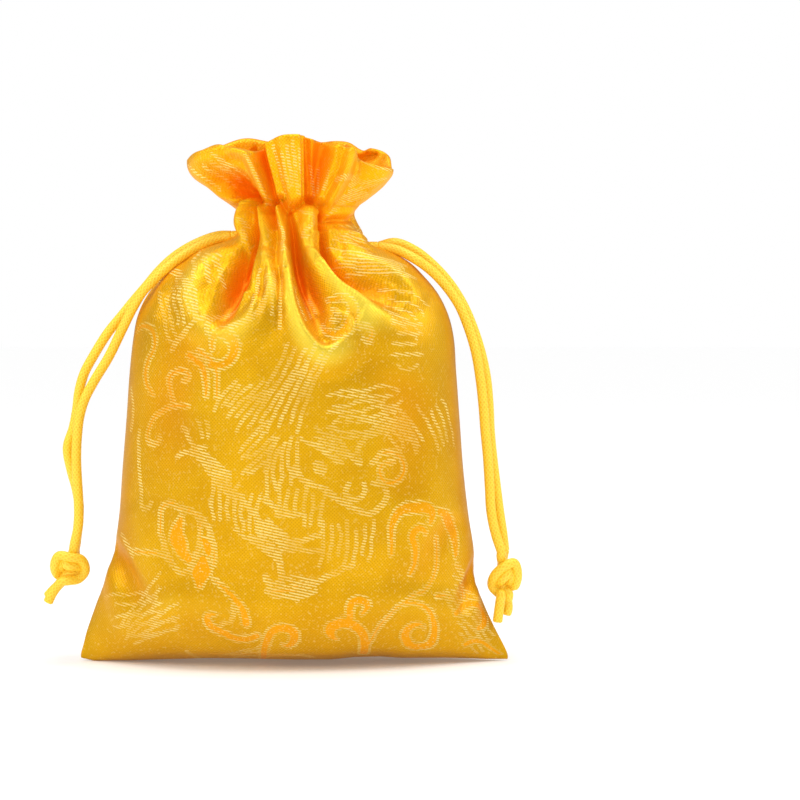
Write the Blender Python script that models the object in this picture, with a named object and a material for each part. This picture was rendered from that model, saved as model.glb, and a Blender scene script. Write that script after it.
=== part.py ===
"""A small satin brocade drawstring pouch (kinchaku), filled, standing, with its mouth drawn shut.

The pouch is one sewn cloth bag. Two drawcords run round the neck in one sewn channel, each leaves by its
own side seam as two strands, and each pair of strands ends in an overhand knot with two short tails.
Front is -Y, up is +Z, and the origin is the middle of the flat base. Tables are in millimetres.
"""

import math

import bmesh
import bpy
import numpy as np
from mathutils import Matrix, Vector

MM = 0.001

# Driving dimensions, in millimetres.
CORD_RADIUS = 1.15
CLOTH_WALL = 1.2
POINTS_ROUND = 72
CHANNEL_POINTS = 28
PLEATS = 12
CORD_STEP = 5.0
RIM_HEIGHT = 119.8
WAIST_HEIGHT = 104.8
THROAT_HEIGHT = 106.4
RIM_RISE = 4.0

# The outside of the bag, from the floor to the rim of the ruffle:
# height, left reach, right reach, half depth, corner power, pleat share.
# Corner power 1 is an ellipse, and 2 is a lens with a sharp corner at each side seam.
SECTIONS = (
    (0.0, -49.6, 49.6, 12.5, 2.00, 0.00),
    (3.0, -49.4, 48.9, 15.5, 1.90, 0.00),
    (12.0, -46.9, 45.2, 19.5, 1.50, 0.00),
    (24.5, -42.6, 42.0, 22.3, 1.20, 0.00),
    (45.0, -40.2, 39.6, 24.0, 1.00, 0.00),
    (66.0, -38.6, 38.2, 25.0, 1.00, 0.00),
    (78.0, -37.2, 37.0, 25.0, 1.00, 0.00),
    (86.0, -34.2, 34.0, 22.3, 1.00, 0.01),
    (91.5, -29.0, 29.2, 18.2, 1.00, 0.03),
    (94.6, -23.8, 25.2, 14.8, 1.00, 0.05),
    (96.6, -18.2, 21.2, 12.8, 1.00, 0.06),
    (98.4, -14.4, 17.0, 11.4, 1.00, 0.07),
    (101.0, -12.9, 15.0, 11.0, 1.00, 0.07),
    (103.0, -12.6, 14.6, 10.8, 1.00, 0.07),
    (WAIST_HEIGHT, -12.2, 13.4, 9.4, 1.00, 0.06),
    (109.5, -17.4, 16.6, 10.8, 1.00, 0.06),
    (114.5, -21.8, 20.6, 12.6, 1.00, 0.06),
    (RIM_HEIGHT, -23.6, 22.8, 13.8, 1.00, 0.06),
)
OUTER_HEIGHTS = (
    0.0, 3.0, 7.0, 12.0, 18.0, 24.5, 31.0, 38.0, 46.0, 54.0, 62.0, 70.0, 76.0, 81.0, 85.0, 88.5,
    91.5, 94.0, 96.5, 99.0, 101.5, 103.4, WAIST_HEIGHT, 107.0, 110.0, 113.0, 116.0, RIM_HEIGHT,
)
# The inside of the ruffle, from the rim down to the closed throat: height, wall from the outside.
INNER_ROWS = ((RIM_HEIGHT, CLOTH_WALL), (115.5, 1.4), (112.0, 1.8), (109.0, 3.0), (THROAT_HEIGHT, 5.2))

# The casing channel is a ring round the neck, with a round opening at each side seam.
CHANNEL_MIDDLE = (1.2, 0.0, 98.3)
CHANNEL_HALF_WIDTH = 9.4
CHANNEL_HALF_DEPTH = 5.7
CHANNEL_RADIUS = 3.1
OPENING_RADIUS = 3.7
LEFT_OPENING = ((-6.5, 0.0, 99.6), (-22.0, 0.0, 99.6))
RIGHT_OPENING = ((9.0, 0.0, 97.0), (26.0, 0.0, 97.0))

# The routes of the cords' middles. The hidden run of each drawcord lies in the channel round the neck.
LEFT_RUN = (
    (-14.0, -1.4, 99.6), (-11.2, -1.5, 99.6), (-8.4, -2.0, 99.6), (-5.6, -3.7, 99.6), (-1.0, -5.4, 99.6),
    (3.2, -5.6, 99.6), (7.2, -4.4, 99.6), (9.8, -2.4, 99.6), (10.6, 0.0, 99.6), (9.8, 2.4, 99.6),
    (7.2, 4.4, 99.6), (3.2, 5.6, 99.6), (-1.0, 5.4, 99.6), (-5.6, 3.7, 99.6), (-8.4, 2.0, 99.6),
    (-11.2, 1.5, 99.6), (-14.0, 1.4, 99.6),
)
RIGHT_RUN = (
    (19.2, -1.4, 97.0), (15.2, -1.5, 97.0), (10.9, -2.0, 97.0), (8.0, -3.7, 97.0), (3.4, -5.4, 97.0),
    (-0.8, -5.6, 97.0), (-4.8, -4.4, 97.0), (-7.4, -2.4, 97.0), (-8.2, 0.0, 97.0), (-7.4, 2.4, 97.0),
    (-4.8, 4.4, 97.0), (-0.8, 5.6, 97.0), (3.4, 5.4, 97.0), (8.0, 3.7, 97.0), (10.9, 2.0, 97.0),
    (15.2, 1.5, 97.0), (19.2, 1.4, 97.0),
)
LEFT_BACK_STRAND = (
    (-14.5, 1.4, 99.7), (-17.8, 1.4, 99.6), (-22.5, 1.4, 98.0), (-27.6, 1.8, 95.1), (-31.5, 2.4, 91.7),
    (-34.8, 3.0, 87.9), (-37.7, 2.2, 84.4), (-40.2, 1.5, 81.2), (-43.6, 1.3, 77.0), (-46.9, 1.4, 71.8),
    (-49.3, 1.4, 67.3), (-50.5, 1.4, 63.0), (-51.0, 1.4, 59.0), (-51.8, 1.4, 54.8), (-53.2, 1.2, 50.0),
    (-52.4, 1.2, 44.9), (-51.2, 1.3, 40.4), (-50.6, 1.3, 36.4), (-50.8, 1.3, 31.9), (-51.4, 1.3, 27.0),
)
LEFT_FRONT_STRAND = (
    (-14.5, -1.4, 99.5), (-17.6, -1.5, 98.9), (-22.2, -3.0, 96.8), (-27.0, -5.2, 93.6), (-31.0, -6.8, 90.1),
    (-34.4, -6.8, 86.6), (-37.0, -5.0, 82.8), (-39.8, -2.6, 77.8), (-43.2, -1.3, 71.2), (-46.6, -1.3, 65.6),
    (-48.8, -1.3, 61.4), (-50.0, -1.3, 57.4), (-50.6, -1.3, 52.6), (-50.8, -1.3, 47.4), (-50.6, -1.3, 42.4),
    (-50.3, -1.3, 37.0), (-50.4, -1.3, 31.9), (-51.4, -1.3, 27.0),
)
RIGHT_FRONT_STRAND = (
    (19.7, -1.4, 97.0), (23.6, -1.9, 96.3), (28.0, -3.8, 94.2), (32.0, -3.0, 91.4), (35.6, -1.8, 87.7),
    (38.6, -1.8, 83.3), (40.7, -1.8, 78.3), (42.4, -1.8, 72.7), (43.5, -1.8, 66.4), (44.2, -1.8, 60.2),
    (44.7, -1.8, 53.9), (45.3, -1.8, 47.7), (45.7, -1.8, 41.3), (46.1, -1.7, 35.1), (47.2, -1.4, 29.8),
    (48.6, -1.3, 25.6),
)
RIGHT_BACK_STRAND = (
    (19.7, 1.4, 97.1), (23.6, 1.2, 98.0), (28.2, 1.1, 96.2), (32.4, 1.0, 92.9), (36.4, 0.9, 88.5),
    (39.6, 0.9, 83.4), (42.0, 0.9, 77.8), (43.8, 0.9, 72.1), (45.0, 0.9, 66.4), (45.6, 0.9, 60.2),
    (45.9, 0.9, 53.9), (46.5, 0.9, 47.7), (47.3, 0.9, 41.3), (48.1, 1.0, 35.1), (48.9, 1.2, 29.8),
    (49.4, 1.3, 25.6),
)
LEFT_TAILS = (
    ((-54.9, -1.35, 18.2), (-56.4, -1.4, 16.2), (-57.6, -1.5, 13.8)),
    ((-54.9, 1.35, 18.2), (-56.6, 1.4, 16.6), (-58.2, 1.5, 14.8)),
)
RIGHT_TAILS = (
    ((48.2, -1.35, 13.8), (47.9, -1.4, 11.6), (47.6, -1.5, 9.2)),
    ((50.1, 1.35, 14.0), (50.2, 1.4, 12.2), (49.8, 1.5, 10.6)),
)
# Each knot: middle, half width, half depth, half height, lean in degrees about Y.
LEFT_KNOT = ((-52.4, 0.0, 22.2), 3.7, 3.3, 4.1, 24.0)
RIGHT_KNOT = ((49.3, 0.0, 19.6), 3.3, 3.1, 5.2, -6.0)

CLOTH = ("golden satin brocade", (0.80, 0.42, 0.02), 0.38)
CORD = ("braided golden cord", (0.86, 0.47, 0.02), 0.55)


def clear_scene():
    """Removes what the startup file holds."""
    for obj in list(bpy.data.objects):
        bpy.data.objects.remove(obj)


def new_collection(name):
    """An empty collection linked to the scene."""
    made = bpy.data.collections.new(name)
    bpy.context.scene.collection.children.link(made)
    return made


def new_material(name, colour, roughness):
    """A Principled material of one colour."""
    made = bpy.data.materials.new(name)
    made.use_nodes = True
    shader = made.node_tree.nodes["Principled BSDF"]
    shader.inputs["Base Color"].default_value = (*colour, 1.0)
    shader.inputs["Roughness"].default_value = roughness
    shader.inputs["Metallic"].default_value = 0.0
    return made


def smooth(at, keys, values):
    """A cubic curve through the keys: each key's slope is the mean of the chords beside it."""
    keys, values = np.asarray(keys, float), np.asarray(values, float)
    chords = np.diff(values) / np.diff(keys)
    slopes = np.concatenate([chords[:1], (chords[:-1] + chords[1:]) / 2, chords[-1:]])
    i = np.clip(np.searchsorted(keys, at, side="right") - 1, 0, len(keys) - 2)
    span = keys[i + 1] - keys[i]
    t = (at - keys[i]) / span
    start = (2 * t**3 - 3 * t**2 + 1) * values[i] + (t**3 - 2 * t**2 + t) * span * slopes[i]
    end = (3 * t**2 - 2 * t**3) * values[i + 1] + (t**3 - t**2) * span * slopes[i + 1]
    return start + end


def section(height, wall=0.0):
    """One ring of the bag's outside at a height, or of its inside at a wall's distance from it."""
    table = np.array(SECTIONS)
    left, right, depth, power, pleat = (smooth(height, table[:, 0], table[:, k]) for k in range(1, 6))
    angle = np.arange(POINTS_ROUND) * 2 * math.pi / POINTS_ROUND
    middle, reach = (left + right) / 2, (right - left) / 2 - wall
    lobes = 1 + pleat * np.cos(PLEATS * angle)
    x = reach * np.cos(angle) * lobes
    y = (depth - wall) * np.sign(np.sin(angle)) * np.abs(np.sin(angle)) ** power * lobes
    above_waist = max(0.0, (height - WAIST_HEIGHT) / (RIM_HEIGHT - WAIST_HEIGHT))
    z = height + RIM_RISE * above_waist * (np.sin(angle) ** 2 - 0.3)
    return [Vector((a + middle, b, c)) * MM for a, b, c in zip(x, y, z)]


def add_mesh(name, bm, collection, material):
    """A smooth-shaded object made of the given faces, which are turned to face out."""
    bmesh.ops.recalc_face_normals(bm, faces=bm.faces)
    mesh = bpy.data.meshes.new(name)
    bm.to_mesh(mesh)
    bm.free()
    if material:
        mesh.materials.append(material)
    mesh.shade_smooth()
    mesh.set_sharp_from_angle(angle=math.radians(50))
    obj = bpy.data.objects.new(name, mesh)
    collection.objects.link(obj)
    return obj


def build_bag(collection, material):
    """The bag as a loft: up its outside to the rim, then down inside the ruffle to the throat."""
    bm = bmesh.new()
    rings = [section(h) for h in OUTER_HEIGHTS] + [section(h, wall) for h, wall in INNER_ROWS]
    rings = [[bm.verts.new(point) for point in ring] for ring in rings]
    for lower, upper in zip(rings, rings[1:]):
        for k in range(POINTS_ROUND):
            after = (k + 1) % POINTS_ROUND
            bm.faces.new((lower[k], lower[after], upper[after], upper[k]))
    bm.faces.new(reversed(rings[0]))
    bm.faces.new(rings[-1])
    return add_mesh("pouch", bm, collection, material)


def route(points):
    """Points a few millimetres apart on one smooth curve through a route's own points."""
    points = np.array(points)
    along = np.concatenate([[0], np.cumsum(np.linalg.norm(np.diff(points, axis=0), axis=1))])
    at = np.linspace(0, along[-1], max(3, round(along[-1] / CORD_STEP) + 1))
    return np.stack([smooth(at, along, points[:, k]) for k in range(3)], axis=1) * MM


def build_tube(name, line, radius, collection, material=None, closed=False):
    """A round tube along points in metres, with closed ends or joined into a ring."""
    curve = bpy.data.curves.new(name, "CURVE")
    curve.dimensions = "3D"
    curve.bevel_depth = radius * MM
    curve.bevel_resolution = 2
    curve.use_fill_caps = not closed
    spline = curve.splines.new("POLY")
    spline.points.add(len(line) - 1)
    for point, place in zip(spline.points, line):
        point.co = (*place, 1.0)
    spline.use_cyclic_u = closed
    if material:
        curve.materials.append(material)
    obj = bpy.data.objects.new(name, curve)
    collection.objects.link(obj)
    return obj


def as_mesh(curve_object, collection):
    """The same tube as a closed mesh, because a curve can't cut."""
    graph = bpy.context.evaluated_depsgraph_get()
    mesh = bpy.data.meshes.new_from_object(curve_object.evaluated_get(graph))
    bm = bmesh.new()
    bm.from_mesh(mesh)
    bmesh.ops.remove_doubles(bm, verts=bm.verts, dist=0.01 * MM)
    name, place = curve_object.name, curve_object.matrix_world.copy()
    bpy.data.objects.remove(curve_object)
    obj = add_mesh(name, bm, collection, None)
    obj.matrix_world = place
    return obj


def cut_with(bag, tube, collection):
    """Takes a tube's space out of the bag."""
    cutter = as_mesh(tube, collection)
    cutter.hide_render = True
    cutter.display_type = "WIRE"
    cut = bag.modifiers.new(cutter.name, "BOOLEAN")
    cut.operation = "DIFFERENCE"
    cut.solver = "EXACT"
    cut.object = cutter


def cut_casing(bag, collection):
    """Cuts the ring channel and its two side openings."""
    angle = (np.arange(CHANNEL_POINTS) + 0.5) * 2 * math.pi / CHANNEL_POINTS
    across, along = CHANNEL_HALF_WIDTH * np.cos(angle), CHANNEL_HALF_DEPTH * np.sin(angle)
    ring = (np.stack([across, along, 0 * angle], axis=1) + CHANNEL_MIDDLE) * MM
    cut_with(bag, build_tube("channel_cutter", ring, CHANNEL_RADIUS, collection, closed=True), collection)
    for name, ends in (("left_opening_cutter", LEFT_OPENING), ("right_opening_cutter", RIGHT_OPENING)):
        line = np.array(ends) * MM
        cut_with(bag, build_tube(name, line, OPENING_RADIUS, collection), collection)


def build_knot(name, knot, collection, material):
    """A tight overhand knot as one rounded, waisted lump."""
    middle, wide, deep, high, lean = knot
    bm = bmesh.new()
    bmesh.ops.create_uvsphere(bm, u_segments=16, v_segments=10, radius=1.0)
    for vert in bm.verts:
        waist = 1 - 0.10 * math.exp(-((vert.co.z / 0.22) ** 2))
        vert.co = Vector((vert.co.x * wide * waist, vert.co.y * deep * waist, vert.co.z * high)) * MM
    obj = add_mesh(name, bm, collection, material)
    obj.matrix_world = Matrix.Translation(Vector(middle) * MM) @ Matrix.Rotation(math.radians(lean), 4, "Y")
    return obj


def build_drawcord(side, run, strands, tails, knot, collection, material):
    """One drawcord: the run in the channel, two free strands, the knot and two tails."""
    build_tube(f"{side}_cord_casing_run", route(run), CORD_RADIUS, collection, material)
    for place, points, tail in zip(("front", "back"), strands, tails):
        build_tube(f"{side}_cord_{place}_strand", route(points), CORD_RADIUS, collection, material)
        build_tube(f"{side}_cord_{place}_tail", route(tail), CORD_RADIUS, collection, material)
    build_knot(f"{side}_cord_knot", knot, collection, material)


def main():
    clear_scene()
    parts, cutters = new_collection("drawstring pouch"), new_collection("cutters")
    cloth, cord = new_material(*CLOTH), new_material(*CORD)
    bag = build_bag(parts, cloth)
    cut_casing(bag, cutters)
    left = (LEFT_FRONT_STRAND, LEFT_BACK_STRAND)
    right = (RIGHT_FRONT_STRAND, RIGHT_BACK_STRAND)
    build_drawcord("left", LEFT_RUN, left, LEFT_TAILS, LEFT_KNOT, parts, cord)
    build_drawcord("right", RIGHT_RUN, right, RIGHT_TAILS, RIGHT_KNOT, parts, cord)


main()
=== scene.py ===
"""A small golden brocade drawstring pouch, filled and standing, drawn shut at the neck.

The construction model gives the place of every piece. This script makes the cloth, the braided drawcords
and the knots as surfaces worked out with numpy, paints them, and sets a plain studio round them.
Front is -Y and up is +Z. The tables below are in millimetres, and every mesh is in metres.
"""

import math

import bpy
import numpy as np
from bpy.props import FloatProperty, FloatVectorProperty, PointerProperty
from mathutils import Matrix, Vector


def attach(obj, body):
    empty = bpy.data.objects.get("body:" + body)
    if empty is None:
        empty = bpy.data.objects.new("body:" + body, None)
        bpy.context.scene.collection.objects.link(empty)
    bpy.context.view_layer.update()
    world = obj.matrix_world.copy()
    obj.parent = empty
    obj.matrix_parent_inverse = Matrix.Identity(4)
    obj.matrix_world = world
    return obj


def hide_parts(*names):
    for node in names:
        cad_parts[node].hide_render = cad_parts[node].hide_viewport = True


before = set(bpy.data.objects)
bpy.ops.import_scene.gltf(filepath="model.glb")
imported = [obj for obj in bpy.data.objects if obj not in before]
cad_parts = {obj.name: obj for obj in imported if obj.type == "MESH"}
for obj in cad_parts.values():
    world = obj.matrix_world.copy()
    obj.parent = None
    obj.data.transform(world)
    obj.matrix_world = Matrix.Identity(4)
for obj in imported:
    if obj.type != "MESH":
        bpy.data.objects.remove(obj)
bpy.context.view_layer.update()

bl_info = {
    "name": "Brocade Drawstring Pouch",
    "version": (1, 0, 0),
    "blender": (4, 5, 0),
    "location": "View3D > Sidebar > Pouch",
    "description": "Builds a filled brocade pouch with two braided drawcords",
    "category": "Add Mesh",
}

MM = 0.001
BODY = "root"

# The camera stands level with the middle of the pouch, a little to its right.
CAMERA_MIDDLE = (24.8, 61.2)
CAMERA_DISTANCE = 520.0
CAMERA_ELEVATION = 1.5
CAMERA_LENS = 100.0

# Soft lights: name, place in metres, width in metres, power in watts. The overhead light is a wide
# sun, so that the floor is white as far as it runs.
LIGHT_AIM = (0.0, 0.0, 0.06)
LIGHTS = (
    ("front", (-0.25, -0.85, 0.50), 0.50, 1.7),
    ("left", (-0.70, -0.25, 0.50), 0.35, 1.6),
    ("right", (0.65, -0.05, 0.45), 0.35, 1.6),
)
OVERHEAD_TILT = (0.05, 0.0, 0.0)
OVERHEAD_ANGLE = math.radians(50)
FLOOR_REACH = 30.0
FLOOR_GRAIN = 400.0

# ---- Shader maths ----


class Value:
    """A shader socket that Python's operators work on: each operator adds one Math node."""

    def __init__(self, finish, socket):
        self.finish = finish
        self.socket = socket

    def math(self, operation, *others):
        return self.finish.node("ShaderNodeMath", {"operation": operation}, dict(enumerate((self, *others))))

    def __add__(self, other):
        return self.math("ADD", other)

    __radd__ = __add__

    def __mul__(self, other):
        return self.math("MULTIPLY", other)

    def __sub__(self, other):
        return self.math("SUBTRACT", other)

    def __rsub__(self, other):
        return (self * -1.0) + other

    def wave(self, period):
        """A sine wave from -1 to 1 with the given period."""
        return (self * (2 * math.pi / period)).math("SINE")

    def size(self):
        return self.math("ABSOLUTE")

    def rise(self, low, high):
        """0 below low and 1 above high, with a smooth step between. high may be the lower one."""
        flip = low > high
        settings = {"interpolation_type": "SMOOTHSTEP"}
        values = {"Value": self, "From Min": min(low, high), "From Max": max(low, high)}
        values.update({"To Min": 1.0, "To Max": 0.0} if flip else {"To Min": 0.0, "To Max": 1.0})
        return self.finish.node("ShaderNodeMapRange", settings, values)


class Finish:
    """One material being made. Every node of it comes from node()."""

    def __init__(self, name):
        self.material = bpy.data.materials.new(name)
        self.material.use_nodes = True
        self.tree = self.material.node_tree
        self.tree.nodes.clear()

    def node(self, kind, settings=None, values=None, output=0):
        """Adds a node, sets its settings and then its sockets, and gives one of its outputs."""
        made = self.tree.nodes.new(kind)
        for name, setting in (settings or {}).items():
            setattr(made, name, setting)
        for key, value in (values or {}).items():
            socket = made.inputs[key]
            if isinstance(value, Value):
                self.tree.links.new(value.socket, socket)
            else:
                socket.default_value = value
        return Value(self, made.outputs[output])

    def mix(self, factor, first, second):
        """A colour between two colours."""
        colours = {6: first, 7: second}
        colours = {k: v if isinstance(v, Value) else (*v, 1.0) for k, v in colours.items()}
        settings = {"data_type": "RGBA"}
        return self.node("ShaderNodeMix", settings, {0: factor, **colours}, output=2)

    def place_on_piece(self):
        """The piece's own UV map in millimetres: across and along."""
        split = self.node("ShaderNodeUVMap", {"uv_map": "UVMap"})
        across = self.node("ShaderNodeSeparateXYZ", values={0: split}, output=0)
        along = self.node("ShaderNodeSeparateXYZ", values={0: split}, output=1)
        return across * UV_SPAN, along * UV_SPAN

    def attribute(self, name):
        """A number stored on the piece's points."""
        settings = {"attribute_name": name, "attribute_type": "GEOMETRY"}
        return self.node("ShaderNodeAttribute", settings, output=2)

    def noise(self, vector, scale, detail=2.0):
        """Soft noise from 0 to 1."""
        values = {"Vector": vector, "Scale": scale, "Detail": detail}
        return self.node("ShaderNodeTexNoise", values=values)

    def close(self, shader_values, height, distance):
        """Ends the material in one Principled surface with a bump from the given height."""
        bump = {"Height": height, "Distance": distance * MM, "Strength": 1.0}
        normal = self.node("ShaderNodeBump", values=bump)
        surface = self.node("ShaderNodeBsdfPrincipled", values={**shader_values, "Normal": normal})
        output = self.tree.nodes.new("ShaderNodeOutputMaterial")
        self.tree.links.new(surface.socket, output.inputs["Surface"])
        return self.material


# The millimetres that one whole UV map stands for.
UV_SPAN = 100.0

# ---- Shapes ----

# How many points each stretch of a route is first worked out at.
ROUTE_FINENESS = 40


def smooth(at, keys, values):
    """A cubic curve through the keys: each key's slope is the mean of the chords beside it."""
    keys, values = np.asarray(keys, float), np.asarray(values, float)
    chords = np.diff(values) / np.diff(keys)
    slopes = np.concatenate([chords[:1], (chords[:-1] + chords[1:]) / 2, chords[-1:]])
    i = np.clip(np.searchsorted(keys, at, side="right") - 1, 0, len(keys) - 2)
    span = keys[i + 1] - keys[i]
    t = (at - keys[i]) / span
    start = (2 * t**3 - 3 * t**2 + 1) * values[i] + (t**3 - 2 * t**2 + t) * span * slopes[i]
    end = (3 * t**2 - 2 * t**3) * values[i + 1] + (t**3 - t**2) * span * slopes[i + 1]
    return start + end


def ease(x, low, high):
    """0 below low, 1 above high, and 3t^2 - 2t^3 between."""
    t = np.clip((x - low) / (high - low), 0, 1)
    return t * t * (3 - 2 * t)


def unit(vectors):
    return vectors / np.maximum(np.linalg.norm(vectors, axis=-1, keepdims=True), 1e-9)


def follow(points, step, places=3):
    """Points a step apart on one smooth curve through a route's own points, with the length along it.

    A route point's first numbers are its place, and any others are carried along smoothly."""
    points = np.array(points, float)
    knots = np.concatenate([[0], np.cumsum(np.linalg.norm(np.diff(points[:, :places], axis=0), axis=1))])
    fine = np.linspace(0, knots[-1], ROUTE_FINENESS * len(points))
    line = np.stack([smooth(fine, knots, points[:, k]) for k in range(points.shape[1])], axis=1)
    along = np.concatenate([[0], np.cumsum(np.linalg.norm(np.diff(line[:, :places], axis=0), axis=1))])
    at = np.linspace(0, along[-1], max(3, round(along[-1] / step) + 1))
    return np.stack([np.interp(at, along, line[:, k]) for k in range(points.shape[1])], axis=1), at


def stand(name, data):
    """Adds an object made of the data to the scene."""
    thing = bpy.data.objects.new(name, data)
    bpy.context.scene.collection.objects.link(thing)
    return thing


def add_surface(name, points, uv, material, wrap=False, caps=False, numbers=None):
    """A mesh from a grid of points, rows by columns: four-sided faces between neighbours.

    wrap joins the last column to the first one, and caps closes the first and last rows. uv has one more
    column than a wrapped grid, so that the pattern meets itself. numbers are arrays stored on the points.
    """
    rows, columns = points.shape[:2]
    index = np.arange(rows * columns).reshape(rows, columns)
    corner = np.arange(rows * (columns + wrap)).reshape(rows, columns + wrap)
    after = np.roll(index, -1, axis=1) if wrap else index[:, 1:]
    first = index if wrap else index[:, :-1]
    faces = np.stack([first[:-1], after[:-1], after[1:], first[1:]], axis=-1).reshape(-1, 4)
    left, right = corner[:, :-1], corner[:, 1:]
    places = np.stack([left[:-1], right[:-1], right[1:], left[1:]], axis=-1).reshape(-1)
    loops = faces.reshape(-1)
    starts = np.arange(len(faces)) * 4
    if caps:
        loops = np.concatenate([loops, index[0, ::-1], index[-1]])
        places = np.concatenate([places, corner[0, :columns][::-1], corner[-1, :columns]])
        starts = np.concatenate([starts, len(faces) * 4 + np.array([0, columns])])
    mesh = bpy.data.meshes.new(name)
    mesh.vertices.add(rows * columns)
    mesh.vertices.foreach_set("co", (points * MM).astype(np.float32).ravel())
    mesh.loops.add(len(loops))
    mesh.loops.foreach_set("vertex_index", loops.astype(np.int32))
    mesh.polygons.add(len(starts))
    mesh.polygons.foreach_set("loop_start", starts.astype(np.int32))
    mesh.update(calc_edges=True)
    layer = mesh.uv_layers.new(name="UVMap")
    layer.data.foreach_set("uv", (uv.reshape(-1, 2)[places] / UV_SPAN).astype(np.float32).ravel())
    for key, array in (numbers or {}).items():
        stored = mesh.attributes.new(key, "FLOAT", "POINT")
        stored.data.foreach_set("value", array.astype(np.float32).ravel())
    mesh.shade_smooth()
    mesh.materials.append(material)
    piece = stand(name, mesh)
    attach(piece, BODY)
    return piece


# ---- The cloth ----

# Each row of a panel, from the bottom seam up to the rim and down inside the ruffle to the throat:
# height, left reach, right reach, half depth, corner power, upward lean of the folds, share of the folds.
# Corner power 1 is an ellipse, and 2 a lens with a sharp corner at each side seam. A row that leaves out
# its last numbers ends as the plain row does.
PLAIN_ROW = (0, 0, 0, 0, 1, 0, 1)
PANEL_ROWS = (
    (0, -50, 50, 0, 2, 0, 0),
    (0.3, -50.1, 50.1, 5, 2, 0, 0),
    (1.3, -50, 50, 10.2, 2, 0, 0.3),
    (3.2, -49.5, 49.2, 14.6, 1.95),
    (7, -48.6, 47.3, 17.6, 1.75),
    (13, -46.6, 44.6, 20.2, 1.5),
    (19.5, -44.4, 42.6, 21.8, 1.32),
    (26, -42.4, 42.3, 22.8, 1.18),
    (34, -41, 41, 23.6, 1.06),
    (45, -40.1, 39.7, 24.2),
    (57, -39.1, 38.8, 24.8),
    (68, -38.3, 38, 25.2, 1, 0.1),
    (76, -37.4, 37.4, 24.5, 1, 0.2),
    (81, -36.4, 36.2, 22.9, 1, 0.4),
    (86, -34, 33.8, 20.3, 1, 0.6),
    (90, -30.6, 30.6, 17.6, 1, 0.7),
    (93.4, -26.2, 27, 14.9, 1, 0.6),
    (95.8, -20.6, 22.4, 13, 1, 0.4),
    (97.8, -15.6, 17.8, 11.8, 1, 0.2),
    (100.5, -13.2, 15.2, 11.2),
    (103, -12.7, 14, 10.2),
    (105.6, -13.6, 13.8, 9.2),
    (109.5, -18, 16.6, 10.2),
    (114.5, -22.3, 20.6, 12.6),
    (118.8, -24.2, 22.8, 14.4),
    (119.8, -24.3, 23, 14.4),
    (120, -23.8, 22.6, 13.9),
    (119.4, -23.3, 22, 12.8),
    (114.5, -21.3, 19.6, 11.5),
    (110, -16.6, 15.4, 9.4),
    (106.4, -11.4, 11.4, 6.2, 1, 0, 0.7),
    (104.4, -8.4, 9, 2.6, 1, 0, 0.3),
    (103.6, -7.8, 8.4, 0, 1, 0, 0),
)
RIM_ROW = 26
WAIST_HEIGHT = 105.6
RIM_HEIGHT = 120.0
# The height of the rim across each panel as the camera sees it, by the share of the half width from the
# left seam to the right one.
FRONT_RIM = (
    (-1, 117.3), (-0.9, 119), (-0.81, 119.8), (-0.69, 121.1), (-0.6, 120.8), (-0.44, 120.1), (-0.34, 119.8),
    (-0.25, 121.2), (-0.08, 123.1), (0.1, 123.5), (0.28, 122.4), (0.45, 121.5), (0.55, 120.6),
    (0.69, 118.2), (0.87, 115.9), (1, 115.2),
)
BACK_RIM = (
    (-1, 117.3), (-0.85, 118.8), (-0.7, 120.6), (-0.5, 122), (-0.25, 121.2), (0, 120.8), (0.3, 121.2),
    (0.56, 121.1), (0.72, 119.2), (0.8, 119.8), (0.9, 118.8), (0.95, 117.6), (1, 115.2),
)
# How far the bottom seam stands off the table, by its place across.
SEAM_LIFT = (
    (-50, 0.7), (-47, 0), (-39, 0.1), (-30, 0.5), (-20, 0.9), (-12, 0.9), (0, 0.7), (9, 0.7), (14, 1.2),
    (20, 1.3), (25, 0.9), (35, 0.8), (45, 0.4), (50, 0.4),
)
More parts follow.
